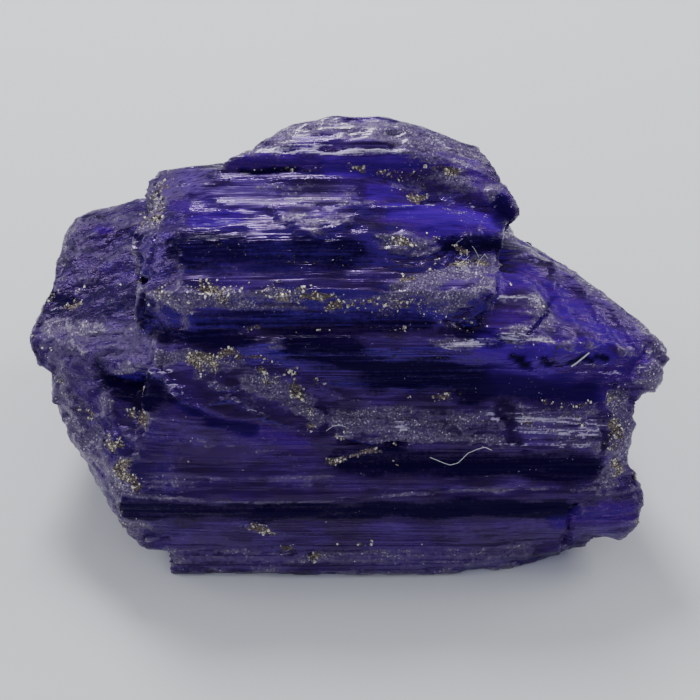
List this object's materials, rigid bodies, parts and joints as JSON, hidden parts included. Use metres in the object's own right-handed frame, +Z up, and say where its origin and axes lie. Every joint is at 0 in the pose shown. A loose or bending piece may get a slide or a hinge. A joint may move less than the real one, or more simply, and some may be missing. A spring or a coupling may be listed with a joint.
{
  "type": "rough tanzanite crystal",
  "caption": "Rough tanzanite crystal lying on its side: a striated deep blue-violet prism with stepped ledges, a crown, lobed broken ends and a flat cleavage face to rest on.",
  "frame": {"origin": "bottom centre of the crystal's bounding box, on the plane that it rests on", "axes": "+X along the prism and its striations, the longest direction, towards the pointed end; +Z up; the stepped front faces -Y"},
  "size_m": [0.0193, 0.0128, 0.0105],
  "materials": {
    "tanzanite": "natural crystal, glossy on the striated prism faces, frosted on broken faces and ledges, deep blue-violet"
  },
  "bodies": {
    "root": {"tanzanite_crystal": "tanzanite"}
  },
  "joints": []
}
